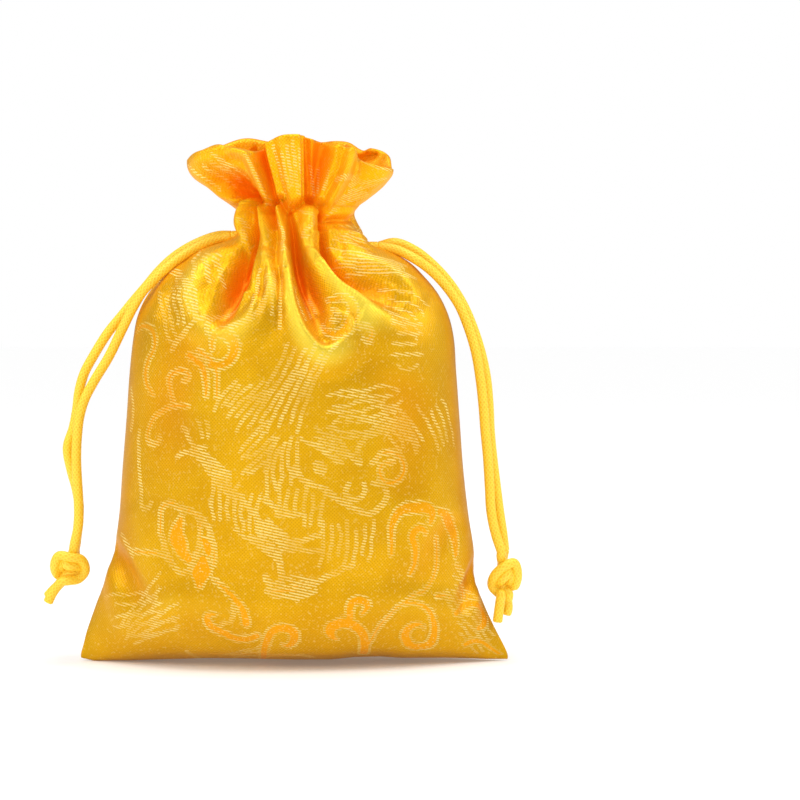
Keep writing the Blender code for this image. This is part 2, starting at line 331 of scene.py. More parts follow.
# Folds of the front panel, set out on the plane of the side seams as the camera sees it. Each is a path
# of points: across, up, half width on the first side, half width on the other side if it differs, and
# height, which is negative in a valley. A downward path has its first side at the left, and a rightward one
# has it below.
FRONT_FOLDS = (
    # the broad valley left of the gathers, and its crease up through the casing
    ((-8.5, 107.5, 0.9, -1.6), (-8.4, 103.5, 1, 0.9, -2.8), (-8.7, 99.5, 1.2, 0.9, -3.4),
     (-9.4, 96.5, 1.4, 1, -3.4), (-10.7, 92.5, 1.6, 1.2, -2.8), (-11.2, 88.5, 1.6, 1.4, -1.4)),
    ((-10.3, 97, 1.8, 1, -2.2), (-12, 93, 3.4, 1.8, -4.4), (-13.5, 88.5, 4.6, 2.4, -4.8),
     (-15.5, 84, 4.4, 3, -3.2), (-17.5, 80, 3.2, 3, -1.2)),
    # the bowl-shaped valley in the middle, and its crease
    ((-1.2, 104.5, 0.9, 1.4, -2.2), (-0.5, 100.5, 0.9, 1.8, -3.2), (0, 97, 1, 2.4, -4.2),
     (0.7, 93.5, 1.3, 3, -5), (2.1, 90, 2.2, 3.6, -5), (4.2, 85.5, 3.4, 4.2, -3.8),
     (5.8, 80.5, 3.6, 4, -2.2), (6.8, 77, 2.5, 3, -0.8)),
    # the long valley to the right shoulder, and its crease
    ((6.3, 104.5, 0.9, 1.2, -2.4), (6.5, 100, 0.9, 1.4, -3.2), (7, 96, 1, 1.8, -3.6),
     (8.6, 92.5, 1.4, 3, -3.8), (12, 89.5, 2.2, 4.5, -3.6), (17.5, 87.5, 3.2, 5.5, -2.4),
     (23, 85, 4, 5, -0.8)),
    # left shoulder ridge, round the end of the broad valley
    ((-12.5, 98.5, 1.6, 2, 1), (-17, 96, 4, 3, 1.8), (-21, 92.5, 5, 3.5, 2), (-23.5, 87.5, 6, 4, 1.8),
     (-22.5, 82.5, 7, 3.5, 1.4), (-19, 78.5, 7, 3, 1.6), (-15.5, 78, 7, 3, 1.6), (-11, 80.5, 7, 3, 1.4),
     (-8, 85, 5, 2.5, 1.2)),
    # ridge left of the bowl, and round it
    ((-6.5, 94.5, 3, 1.6), (-5.6, 89.5, 3, 1.8), (-4, 85, 3, 1)),
    ((-1.4, 95.5, 3, 1, 1.8), (-0.9, 89, 3, 1.2, 2.2), (0.5, 82, 4.5, 1.5, 2.2), (3.3, 76.5, 6.5, 1.8, 2.2),
     (7, 73.5, 8, 2, 2.1), (11, 75, 8, 2.4, 1.7), (13.5, 78.5, 7, 2.6, 0.8)),
    # bright ridge to the right
    ((4.7, 95, 3, 1.6, 1.8), (7.5, 92, 4, 2, 2.8), (12, 87.5, 5, 2.4, 2.8), (16.5, 83.5, 7, 3, 2.3),
     (21.5, 79.5, 9, 5, 1.3), (26, 74, 10, 7, 0.5)),
    # right shoulder
    ((13.5, 96, 3, 1.4), (18, 93.5, 3, 4, 1.8), (23.5, 90.5, 4, 5, 1.8), (27.5, 86, 5, 1)),
    # soft rises and dips of the filled body
    ((-26, 72, 9, -1), (-30, 60, 9, -1.1), (-29, 48, 9, -0.5)),
    ((-14, 74, 7, 0.4), (-12, 62, 8, 0.8), (-14, 46, 9, 0.5)),
    ((22, 70, 9, -0.4), (27, 58, 9, -1), (26, 44, 9, -0.5)),
    ((36, 12, 6, 8, 0.6), (25, 14, 7, 9, 0.9), (8, 13, 7, 9, 0.6), (-8, 12, 7, 9, 0.8),
     (-28, 13, 7, 9, 0.9), (-38, 9, 5, 7, 0.5)),
    ((-36, 34, 5, 6, 0.6), (-34, 24, 6, 0.8), (-30, 16, 6, 0.4)),
    ((37, 32, 4, -0.9), (33, 27, 5, -0.8), (30, 20, 5, -0.3)),
    # puckers under the gathers
    ((-27, 93, 2, 0.4), (-30, 88, 2.4, 0.6), (-33, 81, 3, 0.3)),
    ((-6.8, 92, 1, -0.7), (-7.4, 87, 1.3, -0.7), (-8.6, 81, 1.5, -0.2)),
    ((-3.2, 92, 0.9, -0.7), (-3, 86, 1.1, -0.7), (-3.4, 79, 1.5, -0.2)),
    ((2.4, 93, 0.9, 0.6), (3.4, 88, 1, 0.7), (5.4, 83, 1.2, 0.5)),
    ((10, 82, 1.2, 0.7), (12.5, 80.5, 1.4, 0.9), (13.2, 77.5, 1.2, 0.4)),
    ((15, 93, 1, -0.6), (20, 91, 1.2, -0.8), (26, 87, 1.4, -0.4)),
    ((12, 100, 0.8, -0.6), (15, 97.5, 0.9, -0.8), (18.5, 95.5, 1, -0.4)),
    ((9.5, 102.5, 0.7, -0.5), (10.2, 99.5, 0.8, -0.7), (11.5, 96.5, 0.9, -0.3)),
    # the five gathers of the casing
    ((-10.5, 108, 2, 1.7, 3), (-10.8, 105.5, 2, 1.6, 3.4), (-11, 102, 2, 1.7, 3.2), (-10.7, 99, 2, 1.6, 2),
     (-10.3, 96.5, 1.4, 1.2, 0.8)),
    ((-7.5, 106.5, 0.9, 1.6, 2.2), (-6.5, 102.5, 1.8, 2.2, 2.8), (-6.1, 99.5, 2.2, 2.4, 2.4),
     (-6.5, 96, 2.6, 1)),
    ((-3.6, 106.5, 1.2, 0.8, 2.4), (-2.6, 103.5, 1.6, 0.9, 2.8), (-1.9, 100, 2, 0.9, 2.8),
     (-1.9, 96.5, 2.2, 1, 2.4), (-1.9, 92.5, 2.4, 1.1, 1.8)),
    ((3.4, 105.5, 3, 2.4, 2.8), (3.3, 102, 3, 2.5, 3.2), (3.3, 98.5, 3, 2.6, 2.8), (4.2, 95, 3, 2.4, 1.6)),
    ((7.7, 101, 5, 1, 1.6), (10.7, 101, 5, 1, 2.4), (14, 100, 5, 1, 2.2), (16, 98.5, 4, 1.2, 1.2)),
    # dark notch between the second and third gathers
    ((-5.6, 107, 1.2, -2), (-4.9, 104.5, 1.1, -2.2), (-4.4, 101.8, 0.9, -1.4)),
    # the drawn line just above the gathers, where the ruffle comes out from behind them
    ((-14.5, 101.5, 0.8, 1.6, -1), (-12.8, 103.5, 0.6, 1.8, -1.6), (-12.2, 107.5, 0.6, 1.8, -2),
     (-10.6, 109.3, 0.6, 2.4, -2.6), (-9, 108.2, 0.6, 2.2, -2.4), (-7.6, 107.3, 0.6, 2.2, -2.2),
     (-5.1, 105, 0.6, 2, -2), (-3.6, 107.8, 0.6, 2.2, -2.4), (-1.6, 105, 0.6, 2, -2),
     (0.8, 106.3, 0.6, 2.4, -2.2), (4.2, 107.3, 0.6, 2.4, -2.4), (6.3, 106, 0.6, 2.2, -2.2),
     (7.2, 103, 0.6, 2, -2.2), (10.3, 103.2, 0.6, 2, -2.2), (13.5, 103, 0.8, 1.8, -1.4)),
    # hollow, roll and ridge of the ruffle's left lobe
    ((-17.5, 112.5, 3.5, 4, -2.8), (-13.5, 111, 3.5, 5, -6.4), (-11, 109.5, 2, 3.4, -5.4)),
    ((-22.7, 113.5, 4, 1.2), (-21.3, 117.5, 4, 1.8), (-17, 119.5, 4, 3, 1.8)),
    ((-13.5, 120, 2.6, 0.8, 2.2), (-10.7, 119, 2.4, 0.7, 2.8), (-8.6, 115, 2.2, 0.7, 3),
     (-6.8, 110.5, 2, 0.7, 2.6), (-5.4, 106.5, 1.4, 0.7, 1.2)),
    # valley between the left lobe and the middle one
    ((-8.2, 121, 2.4, 1.6, -4.8), (-7, 117, 1.8, 1.2, -4.8), (-5.6, 112.5, 1.4, 1, -3.8),
     (-4.4, 107.5, 1, 0.9, -2.2)),
    # middle lobe, which ends in a straight crisp edge at the right
    ((-2.1, 123, 3.4, 2), (-1.6, 117.5, 3, 2.2), (-0.8, 111.5, 2.2, 2.4, 2), (0, 107.5, 1.4, 1.8, 1.2)),
    ((1.4, 123, 2.6, 0.5, 1.6), (1.5, 115, 2.2, 0.5, 1.8), (1.6, 108.5, 1.6, 0.5, 1.4)),
    # sunk panel right of the middle
    ((2.7, 122.5, 0.6, 2, -2.6), (2.9, 115, 0.6, 2, -3), (2.9, 108.5, 0.6, 1.6, -2)),
    ((7.4, 122, 5, 3.6, -3.6), (6.4, 117.5, 4.2, 3.2, -4.2), (5.2, 112.5, 2.8, 2.4, -3.8),
     (4.2, 108, 1.6, 1.4, -2.4)),
    # right lobe
    ((12.4, 120, 0.8, 3.4, 3.2), (11, 115, 0.8, 3.4, 3.6), (8.8, 110, 0.8, 2.8, 3),
     (7, 105.8, 0.8, 1.8, 1.4)),
    ((20.5, 114, 4, 1.4), (17, 109, 3.5, 1.4), (13, 105.5, 2.4, 0.8)),
    ((15.7, 120, 1.6, -1.4), (16.8, 116, 2, -1.2), (15.5, 112, 2, -0.6)),
    # soft creases above the two bottom corners
    ((-43, 27.5, 2.6, -0.6), (-40.5, 23, 3.6, 3.4, -1.2), (-37.5, 17.5, 4.2, 4, -0.9),
     (-35, 12.5, 4, -0.3)),
    ((-44, 22.5, 2.6, 3, 0.4), (-42, 15, 3.2, 3.4, 0.6), (-41, 9, 3.2, 0.3)),
    ((43.5, 23.5, 2.4, -0.9), (41.5, 19, 2.4, 3, -1.3), (39.5, 14, 3.2, 3.4, -0.7)),
    ((43, 15.5, 2.4, 0.6), (41, 9, 3, 0.5)),
)
# The back panel's folds are the front's turned over about this place across.
BACK_FOLD_MIRROR = 1.5
# The woven figures are scrolls and fans, set out as the folds are. A scroll is the start, bend and end of its
# stem, each across and up, and the band's half width at the start, the middle and the tip, or one half width
# all along. It may go on into a curl, given by its first radius and how far it turns in degrees,
# anticlockwise above 0.
SCROLLS = (
    # stem and curl at the left
    (-36.5, 55, -36.5, 44, -35.5, 37, 0.3, 0.3, 0.3, 1.5, 200),
    (-25, 60.5, -34, 61, -34.8, 53, 0.5, 0.5, 0.3, 2, 240),
    # left flower: its petals' edges and their fillings
    (-31, 31, -32.5, 36.5, -29.5, 38, 0.5, 0.5, 0.3, 1.8, -150),
    (-27, 36, -20, 36.5, -22.5, 27, 0.4),
    (-22.5, 27, -24, 21, -26.5, 21, 0.4),
    (-26.5, 21, -30.5, 25, -31, 31, 0.4),
    (-26.5, 33.5, -29, 29.5, -25, 24.5, 0.8, 2.2, 1.1),
    (-24.5, 36, -18, 34, -19, 22.5, 0.4),
    (-21, 29.5, -20.5, 27.5, -19.8, 25, 0.7, 1.2, 0.6),
    (-21.5, 24, -21.5, 21.5, -22, 18.5, 1.2, 2.6, 1.1),
    (-40.5, 30.5, -39.5, 28, -37.5, 25.5, 0.4),
    (-37, 26.5, -32, 26.5, -28.5, 23.5, 0.5, 0.5, 0.3),
    # scrolls along the bottom
    (-18.5, 19, -13, 16.5, -11, 9.5, 0.5, 0.8, 1.1),
    (-9, 6, -14, 4.8, -19.5, 8.5, 1, 1.1, 0.5, 2.4, -170),
    (-16.5, 9, -13, 9.8, -14.2, 13.3, 0.3),
    (-7.5, 0.8, -6.8, 8.4, -2.6, 8.6, 0.9, 1.3, 0.4, 3, -240),
    (-7.5, 1, -2, 2.6, 4.5, 1.2, 0.5),
    (-25, 2.5, -22, -0.4, -16.5, 0.8, 0.3),
    (16.3, 2, 18, 9.6, 10.5, 9.3, 1.2, 1.5, 0.5, 2.6, 200),
    (13.2, 10.5, 12.2, 14.8, 15, 15.2, 1, 1.1, 0.5, 2.3, -190),
    (16.3, 2.7, 21, 13, 30, 16.8, 0.5),
    (30, 16.8, 34.5, 19.5, 34, 30, 0.5),
    (26, 14.5, 33, 14, 32.8, 7, 0.5, 1.4, 0.4, 4, -340),
    (37.5, 11, 41.5, 16.5, 44.5, 10.5, 0.9, 1.1, 0.8, 2.5, -120),
    (40, 4.3, 44.5, 5.6, 48, 1.7, 0.8, 0.9, 0.8),
    # right flower
    (22.8, 26, 21, 37.5, 30, 37, 0.6, 1.5, 0.8, 3.4, -130),
    (27.5, 21, 29.5, 25, 27.8, 28.5, 0.7, 1.1, 0.7, 2.4, -200),
    (34, 36, 38.5, 34, 37.8, 24.5, 1, 1.6, 0.8),
    (33, 15.7, 35, 16, 37, 15, 0.6, 0.5, 0.4),
    # wing and arcs of the middle
    (-24.5, 50, -16, 43, -8, 33.5, 0.3),
    (-8, 33.5, -1.5, 25.5, 6, 27, 0.3),
    (-7, 39, -4, 35.5, -0.3, 35.3, 0.3),
    (-4, 34.8, -0.6, 34.5, 2.5, 35.2, 0.3),
    (-4, 30, -0.3, 28, 6, 30, 0.3),
    (-6.5, 33.5, -4.8, 31.5, -2, 30.5, 0.3),
    # clouds right of the middle
    (-0.3, 46, 0.8, 42.4, 7, 41, 0.4),
    (7, 41, 12, 36.5, 16.5, 35.5, 0.4, 0.4, 0.3, 5, 200),
    (16.5, 42, 17.5, 38.8, 14, 38.5, 0.3, 0.3, 0.3, 2.4, -170),
    (18.5, 46.5, 20, 50.4, 23.5, 49.2, 0.4, 0.6, 0.4, 3.9, -380),
    (5, 47.5, 8.2, 47, 7.2, 45, 0.3, 0.3, 0.3, 1.4, -160),
    (22, 56, 13, 53, 15.5, 47.5, 0.3),
    (25.5, 55, 28.5, 52.5, 29.2, 50, 0.3),
    # leaf below the middle
    (-3.5, 23.5, -2.5, 21, -3, 18.8, 0.4),
    (-6.5, 17.4, 2.5, 16, 6, 19.6, 0.4),
    (6, 19.6, 9, 21.3, 13.5, 23, 0.4),
    (-5, 15.4, 0, 14.8, 5, 16.8, 0.3),
    (-7, 20.5, -4, 15, 3.5, 19.5, 0.4),
    # upper left leaf, scrolls and ears
    (-31.5, 88, -28, 94.5, -23.8, 87.5, 0.4),
    (-23.8, 87.5, -22.3, 84, -22.5, 80.5, 0.4),
    (-29, 74, -25, 79.8, -19.8, 80.5, 0.4),
    (-36.5, 78.3, -31, 80, -33.2, 72.7, 0.7, 0.8, 0.7),
    (-33.2, 72.7, -36.5, 67.5, -33.7, 62.5, 0.7, 0.8, 0.5),
    (-29, 62, -31.2, 67.5, -27.8, 69, 0.5, 0.6, 0.3, 2.3, -220),
    (-25, 71.8, -19.8, 70.5, -20.6, 62.5, 0.8, 0.9, 0.6),
    (-22.5, 73.3, -16.8, 71.5, -18, 62.5, 0.6, 0.6, 0.5),
    (-19.8, 70, -13.5, 69.5, -13.4, 74, 0.9, 1.3, 0.5, 3.6, 210),
    # scrolls among the folds
    (-19.5, 77, -20.5, 81, -16.9, 82.2, 0.3),
    (-16.9, 82.2, -13, 83.5, -11.8, 89, 0.3),
    (-6, 90, -5.5, 82, -11.8, 79.5, 0.4),
    (-11.8, 79.5, -14.5, 78.3, -17, 77.8, 0.4),
    (8, 85, 14.5, 85.5, 13.4, 80.5, 0.6, 1.3, 0.4, 4.6, -160),
    (9, 83, 11.5, 82.8, 10.6, 80.8, 0.4, 0.4, 0.3, 1.4, -160),
    (14.3, 78.3, 17, 80.6, 18, 77, 0.5, 0.5, 0.3, 1.9, -170),
    (2.2, 105.4, 7, 104.5, 2.3, 101.2, 0.3, 0.3, 0.3, 1.5, 160),
    (-10.7, 103.8, -9.2, 101, -11, 98.4, 0.3),
    (-3.2, 103.2, -0.8, 99.5, -2.6, 96.8, 0.3, 0.3, 0.3, 1.6, 120),
    # ruffle
    (-18, 119, -15.2, 116.5, -15, 113, 0.2),
    (-10.2, 118.5, -8, 114, -4.8, 106.5, 0.3),
    (9.7, 113, 13.5, 114, 17, 112.3, 0.4),
    (8.6, 105.4, 10, 107.5, 12.5, 108.6, 0.4),
    (16.7, 117.3, 19, 114.8, 22, 115, 0.2),
    # claw left of the middle
    (-26.3, 56, -24, 50, -18.3, 47, 0.3),
    (-27.5, 48.5, -24.5, 50.3, -21, 50.2, 0.3),
    (-22.5, 57.2, -21.9, 55.3, -21.6, 53.4, 0.15),
    (-20.4, 57.3, -20.2, 55.2, -20.3, 53.1, 0.15),
    # dashes down the two sides
    (-38, 63.5, -37.3, 58.5, -38.2, 54, 0.3),
    (38.2, 22.5, 41, 19, 40, 15.4, 0.5),
)
# A fan is a set of fine lines between two edges: count, half width, first edge and last edge. Each edge is
# a start, a bend and an end as a stem's.
FANS = (
    # both bottom corners
    (6, 0.1, (-40.5, 8.5, -37.5, 14.5, -31, 20.5), (-39, 3.5, -32.5, 6.5, -24, 9.5)),
    (5, 0.1, (-44.5, 15, -38.5, 17, -32, 15.5), (-41.5, 6, -34, 6, -26, 8)),
    (5, 0.12, (-16.5, 1.7, -13.5, 2.6, -8, 3.4), (-15.5, 0, -11, 0.2, -6.7, 0.3)),
    (5, 0.12, (39.5, 14, 43, 11.5, 47, 5.5), (37.5, 8, 40.5, 5, 43.5, 1)),
    (5, 0.12, (37.5, 20.5, 40.5, 17, 43.5, 14), (35, 15.5, 37, 12, 40, 9)),
    # long feathers of the middle, fanning up from one root
    (7, 0.1, (0.8, 54, 2, 62.5, 9.5, 75), (-13.5, 54.5, -10, 60, -4.5, 65.5)),
    (5, 0.1, (-1.5, 75.5, -2.5, 70.5, -7, 64.5), (7.5, 74.5, 4, 68.5, 2, 62)),
    (5, 0.1, (-13, 66, -17, 63.5, -18.5, 59.5), (-5, 66, -9.5, 62, -14, 57.5)),
    (5, 0.1, (-6.5, 56.5, -10, 53.5, -13, 49), (-2.5, 51.5, -6, 47, -12, 43.5)),
    (5, 0.1, (-4, 52.5, -8, 46.5, -6, 38.5), (0.6, 54, 0, 49, 1.5, 43.5)),
    # wing left of the middle
    (7, 0.1, (-18.5, 45.5, -19.5, 40, -19, 33.5), (-7.5, 40, -10.5, 35.5, -7.5, 28.5)),
    (5, 0.12, (-22.5, 50, -18, 47.5, -14.5, 44), (-20.5, 44, -17, 41, -12.5, 38)),
    (6, 0.1, (-3, 43.5, -4.5, 38.5, -3, 34.5), (7, 40.5, 6.5, 36, 5.5, 31)),
    (4, 0.1, (-14, 31.5, -9.5, 27.5, -4, 24.5), (-8, 32, -4.5, 28.5, 0.5, 26)),
    # wing right of the middle
    (8, 0.1, (8, 63, 14, 65, 25, 64.5), (8, 54.5, 15, 50.5, 26.5, 56.5)),
    (5, 0.1, (1.5, 52.5, 6.5, 50.5, 10.5, 46.5), (6.5, 56, 12, 50.5, 16, 47.5)),
    (5, 0.1, (17, 57.5, 22, 54.5, 25.5, 49.5), (22, 62, 28.5, 57.5, 31, 51.5)),
    (4, 0.1, (29.5, 60, 33, 55, 34, 49.5), (34.5, 62, 37, 57, 37.3, 51)),
    # leaf and feathers below the middle
    (7, 0.1, (6.5, 33.5, 7.8, 29.5, 6, 23), (18.5, 33.5, 18.5, 28, 17.5, 24)),
    (4, 0.1, (-6.5, 19.5, -4.5, 16.5, 0.5, 15), (-1, 21, 2, 19.5, 7, 19.5)),
    # upper left leaf
    (5, 0.12, (-31, 87, -31, 81, -29, 74.5), (-25.5, 90, -24, 85, -24, 80.5)),
    # under the right shoulder
    (5, 0.1, (20.5, 87.5, 26.5, 87.5, 31.5, 83), (21, 80.5, 25, 79.5, 29.5, 75.5)),
    (5, 0.12, (22, 79.5, 26, 80.5, 30, 79), (23, 70, 26, 68.5, 29.5, 69.5)),
    (5, 0.12, (8, 97, 15, 95.5, 26, 92), (9.5, 92, 17, 92.5, 29, 88.5)),
    (4, 0.12, (11, 102, 15, 102, 17.5, 100), (9, 99, 13.5, 97.5, 17, 96)),
    # between the folds
    (3, 0.12, (-20.5, 97, -23, 92.5, -22.5, 89), (-17, 95.5, -18, 91.5, -16, 87)),
    (4, 0.12, (-8, 92, -8.5, 86, -10.5, 81), (-2.5, 92, -3, 85.5, -3.5, 79)),
    (3, 0.12, (0, 88, 1, 84, 3, 80.5), (3.5, 88, 4.5, 85, 6, 82)),
    # ruffle
    (5, 0.1, (-4.8, 121, -3, 115, -1.8, 109.5), (1.2, 122.5, 1.6, 116, 1.8, 109.5)),
    (4, 0.1, (-23.5, 116, -20.5, 113.5, -18, 110), (-17, 118, -14, 115.5, -11.5, 113.5)),
    (3, 0.12, (4, 117, 5.5, 113.5, 5, 109), (8.5, 116, 8, 113, 6.5, 110)),
    (4, 0.12, (13, 111.5, 16.5, 112.5, 20.5, 113), (9.5, 106.5, 12.5, 107.5, 16, 109)),
)
# A curl's last radius is this much less than its first, as a share, and it is set out in steps of this many
# degrees. A stem is set out in this many points.
CURL_TIGHTENING = 0.5
CURL_STEP = 15
STEM_POINTS = 9
# A fan's lines end raggedly: each leaves out this share of itself, once, twice or not at all, at either end.
FAN_RAGGEDNESS = 0.09
# How far round a band the figures are worked out, and what stands for no figure beyond that.
DASH_ROOM = 1.2
NO_FIGURE = -3.0
# A band further than this from the panel, on the mean, is off it.
OFF_PANEL = 1
# Columns of a panel's mesh, and its steps between rows, which are finer from the neck up.
COLUMNS = 300
BODY_ROW_STEP = 0.58
NECK_ROW_STEP = 0.4
NECK_HEIGHT = 92
# How finely a panel's outline and a row's ellipse are first worked out.
OUTLINE_POINTS = 4000
ELLIPSE_POINTS = 241
FOLD_STEP = 1.0
BAND_STEP = 1.0
# The share of a row, from each side seam, over which the folds grow from nothing.
FRONT_SEAM_WINDOW = 0.035
BACK_SEAM_WINDOW = 0.16
# The side seams pull the cloth in, a little more at each stitch, from above the corners to the rim.
SEAM_DEPTH = 0.55
SEAM_PULL = 0.12
SEAM_PITCH = 2.6
SEAM_REACH = 0.9
SEAM_HEIGHTS = (12.0, 24.0)
# The bottom seam's lift fades out by this height.
LIFT_HEIGHT = 16
# Where the figures are woven again, as steps across and up.
FRONT_REPEATS = ((0, 0),)
BACK_REPEATS = ((7, -31), (-11, 47))
# A valley this deep is fully in the shade of its own walls, and the ruffle's inside is partly so.
HOLLOW_DEPTH = 4.5
INSIDE_HOLLOW = 0.45
# A ridge this high, from the first height to the second, shines in the light from above.
CREST_HEIGHTS = (0.6, 2.8)
# Light comes through the thin cloth of the neck and ruffle, from none to all of it between these heights.
GLOW_HEIGHTS = (80.0, 105.0)
# The gathers pucker the cloth, and painted light makes the ground lighter, more and more between these
# heights.
PUCKER_HEIGHTS = (70.0, 98.0)


def nearest(path, across, up):
    """For each point, the nearest place on a path of straight pieces: its distance, its side (above 0 on the
    path's left-hand side) and the path's other numbers there. Nearest is the foot of the perpendicular,
    held to the piece's two ends, and the side is the sign of the cross product."""
    best = np.full(across.shape, np.inf)
    side = np.zeros(across.shape)
    extra = np.zeros((path.shape[1] - 2, *across.shape))
    for a, b in zip(path, path[1:]):
        step = (b - a)[:2]
        t = ((across - a[0]) * step[0] + (up - a[1]) * step[1]) / max(step @ step, 1e-9)
        t = np.clip(t, 0, 1)
        gap_x, gap_y = across - a[0] - t * step[0], up - a[1] - t * step[1]
        gap = np.hypot(gap_x, gap_y)
        closer = gap < best
        best = np.where(closer, gap, best)
        side = np.where(closer, step[0] * (up - a[1]) - step[1] * (across - a[0]), side)
        numbers = a[2:, None] + t * (b - a)[2:, None]
        extra = np.where(closer, numbers, extra)
    return best, side, extra


def window(path, reach, across, up):
    """Which points lie in a path's own box, grown by the reach."""
    low, high = path.min(axis=0) - reach, path.max(axis=0) + reach
    return (across > low[0]) & (across < high[0]) & (up > low[1]) & (up < high[1])


def fold_heights(folds, across, up):
    """The sum of the folds: each stands its height on its path, and falls as (1 - r^2)^2 to its width."""
    total = np.zeros(across.shape)
    for fold in folds:
        path, _ = follow(fold, FOLD_STEP, 2)
        near = window(path, path[:, 2:4].max(), across, up)
        gap, side, (first, other, height) = nearest(path, across[near], up[near])
        width = np.where(side > 0, other, first)
        total[near] += height * np.clip(1 - (gap / width) ** 2, 0, 1) ** 2
    return total


def stem(places):
    """A stem's points, from its start, bend and end: (1 - t)^2 start + 2 t (1 - t) bend + t^2 end."""
    start, bend, end = np.reshape(places, (3, 2))
    t = np.linspace(0, 1, STEM_POINTS)[:, None]
    return (1 - t) ** 2 * start + 2 * t * (1 - t) * bend + t**2 * end


def scroll(places, first, middle=None, tip=None, radius=0, turn=0):
    """A stem and its curl, as points with a half width.

    The curl heads on from the stem. Its heading turns evenly, and its radius shrinks evenly as it goes, so
    each step is radius times the angle turned. The half width runs smoothly from first to middle to tip.
    """
    points = stem(places)
    if middle is None:
        middle = tip = first
    if turn:
        ahead = np.subtract(places[4:], places[2:4])
        share = np.linspace(0, 1, 2 + abs(turn) // CURL_STEP)
        heading = math.atan2(ahead[1], ahead[0]) + math.radians(turn) * (share[1:] + share[:-1]) / 2
        steps = radius * (1 - CURL_TIGHTENING * share[1:]) * math.radians(abs(turn)) * share[1]
        moves = steps[:, None] * np.stack([np.cos(heading), np.sin(heading)], axis=-1)
        points = np.concatenate([points, points[-1] + np.cumsum(moves, axis=0)])
    along = np.linspace(0, 1, len(points))
    return np.column_stack([points, smooth(along, (0, 0.5, 1), (first, middle, tip))])


def woven_bands():
    """Every band of the figures as points with a half width: the scrolls, and the lines of the fans."""
    bands = [scroll(row[:6], *row[6:]) for row in SCROLLS]
    for count, half, first, last in FANS:
        for i, share in enumerate(np.linspace(0, 1, count)):
            line = stem(np.array(first) + np.subtract(last, first) * share)
            trimmed = np.linspace(FAN_RAGGEDNESS * (2 * i % 3), 1 - FAN_RAGGEDNESS * (i % 3), len(line))
            whole = np.linspace(0, 1, len(line))
            line = np.stack([np.interp(trimmed, whole, line[:, k]) for k in (0, 1)], axis=1)
            bands.append(np.column_stack([line, np.full(len(line), half)]))
    return bands


def figure_field(across, up, flat, moved):
    """How far each point lies inside the nearest woven band: half width less distance, on the flat cloth.

    A band's points are carried to the flat cloth through the panel point seen nearest to each, and
    smoothed by the mean of three neighbours.
    """
    bands = woven_bands()
    seen = np.stack([across[::2, ::2].ravel(), up[::2, ::2].ravel()], axis=-1)
    cloth = flat[::2, ::2].reshape(-1, 2)
    field = np.full(across.shape, NO_FIGURE)
    for shift_x, shift_z in moved:
        for band in bands:
            path, _ = follow(band + np.array([shift_x, shift_z, 0]), BAND_STEP, 2)
            gaps = np.hypot(seen[None, :, 0] - path[:, :1], seen[None, :, 1] - path[:, 1:2])
            if gaps.min(axis=1).mean() > OFF_PANEL:
                continue
            places = cloth[gaps.argmin(axis=1)]
            places[1:-1] = (places[:-2] + places[1:-1] + places[2:]) / 3
            path = np.column_stack([places, path[:, 2]])
            near = window(path, path[:, 2].max() + DASH_ROOM, flat[..., 0], flat[..., 1])
            gap, _, (half,) = nearest(path, flat[..., 0][near], flat[..., 1][near])
            field[near] = np.maximum(field[near], half - gap)
    return field


